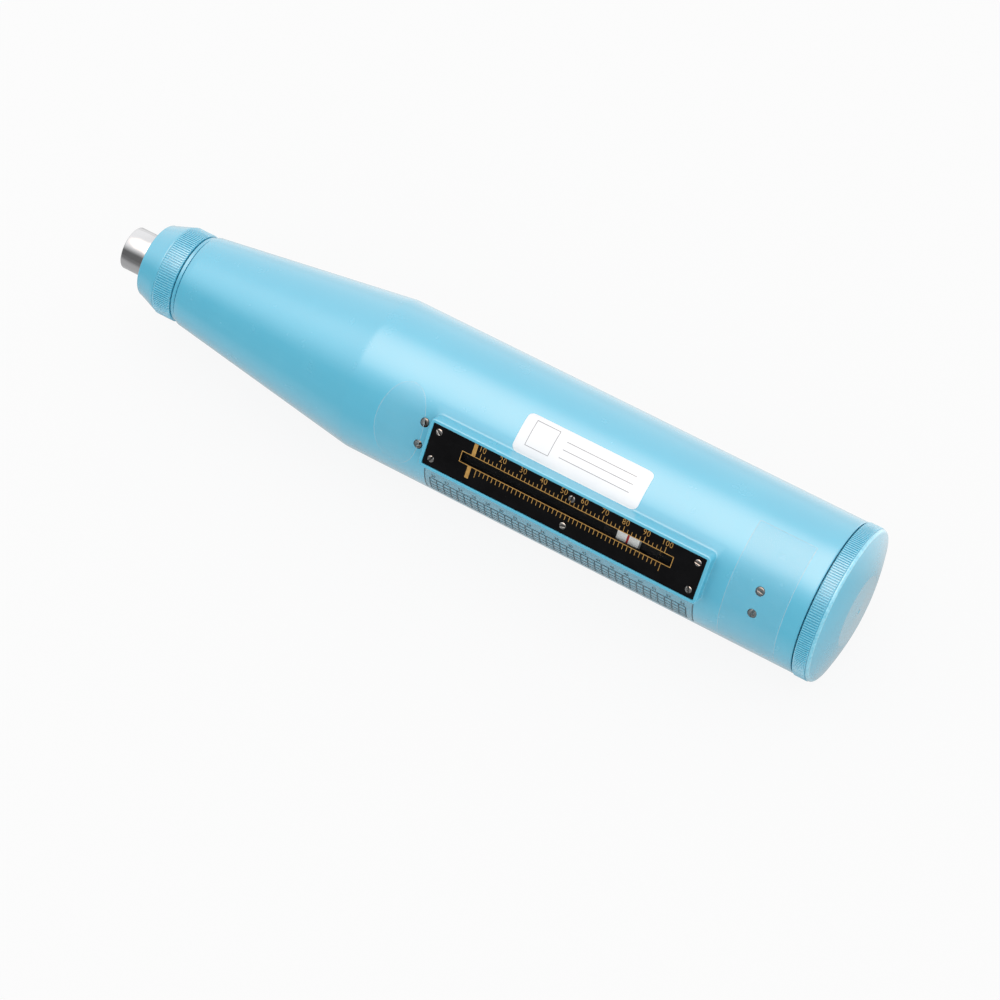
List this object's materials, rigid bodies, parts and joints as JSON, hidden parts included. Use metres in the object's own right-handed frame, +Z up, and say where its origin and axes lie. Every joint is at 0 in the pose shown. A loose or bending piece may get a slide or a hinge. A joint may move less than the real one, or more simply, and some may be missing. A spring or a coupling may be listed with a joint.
{
  "type": "concrete test hammer",
  "caption": "Spring rebound hammer for testing concrete: knurled nose cap, steel plunger, tapered painted barrel, slotted scale with a sliding pointer, lock button and domed rear cover.",
  "frame": {"origin": "floor under the middle of the hammer's box as it lies on its side", "axes": "+X along the hammer's axis towards the rear cover, +Z up; the scale faces -Y and up, rolled 56.5 degrees from straight up"},
  "size_m": [0.2779, 0.0611, 0.054],
  "materials": {
    "blue_paint": "satin light blue enamel over an aluminium casting",
    "polished_steel": "polished hardened steel",
    "dark_steel": "blackened steel",
    "spring_wire": "drawn spring wire",
    "scale_black": "black anodised plate with gold graduations",
    "clear_strip": "clear polished strip",
    "screw_steel": "bright slotted screws",
    "brass_part": "plain turned or stamped brass",
    "white_flag": "white moulded block with a red line",
    "felt": "pressed wool felt"
  },
  "bodies": {
    "housing": {"housing": "blue_paint", "front_cap": "blue_paint", "felt_ring": "felt", "split_ring": "polished_steel", "spring_seat": "dark_steel", "impact_spring": "spring_wire", "main_spring": "spring_wire", "rear_cover": "blue_paint", "trip_screw": "polished_steel", "lock_nut": "brass_part", "scale_plate": "scale_black", "scale_window": "clear_strip", "plate_screws": "screw_steel", "front_bracket": "dark_steel", "rear_bracket": "dark_steel", "bracket_screws": "screw_steel", "pointer_rod": "polished_steel", "button_bush": "polished_steel", "button_spring": "spring_wire"},
    "guide": {"guide_rod": "polished_steel", "guide_flange": "dark_steel", "rod_pin": "polished_steel", "pawl_pin": "polished_steel", "pawl_spring": "spring_wire", "buffer_spring": "spring_wire"},
    "plunger": {"plunger": "polished_steel"},
    "hammer": {"hammer_mass": "polished_steel"},
    "pawl": {"pawl": "dark_steel"},
    "pointer": {"pointer_slider": "dark_steel", "pointer_flag": "white_flag", "pointer_leaf": "brass_part"},
    "lock": {"lock_button": "polished_steel"}
  },
  "joints": [
    {"name": "guide_slide", "type": "slide", "parent": "housing", "child": "guide", "axis": [-1, 0, 0], "range_m": [0, 0.075], "deforming": ["main_spring"]},
    {"name": "plunger_press", "type": "slide", "parent": "guide", "child": "plunger", "axis": [1, 0, 0], "range_m": [0, 0.006], "stiffness_N_per_m": 800, "deforming": ["buffer_spring"]},
    {"name": "hammer_slide", "type": "slide", "parent": "guide", "child": "hammer", "axis": [1, 0, 0], "range_m": [0, 0.075]},
    {"name": "pawl_swing", "type": "hinge", "parent": "guide", "child": "pawl", "pos_m": [0.11298, -0.00673, 0.01774], "axis": [0, -0.8339, 0.5519], "range_deg": [0, 13], "stiffness_Nm_per_rad": 0.05, "deforming": ["pawl_spring"]},
    {"name": "pointer_slide", "type": "slide", "parent": "housing", "child": "pointer", "axis": [1, 0, 0], "range_m": [-0.0615, 0.0135]},
    {"name": "lock_press", "type": "slide", "parent": "housing", "child": "lock", "axis": [0, -0.8339, 0.5519], "range_m": [0, 0.0035], "stiffness_N_per_m": 400, "deforming": ["button_spring"]}
  ],
  "couplings": [
    {"joint": "hammer_slide", "follows": "guide_slide", "ratio": 1}
  ]
}
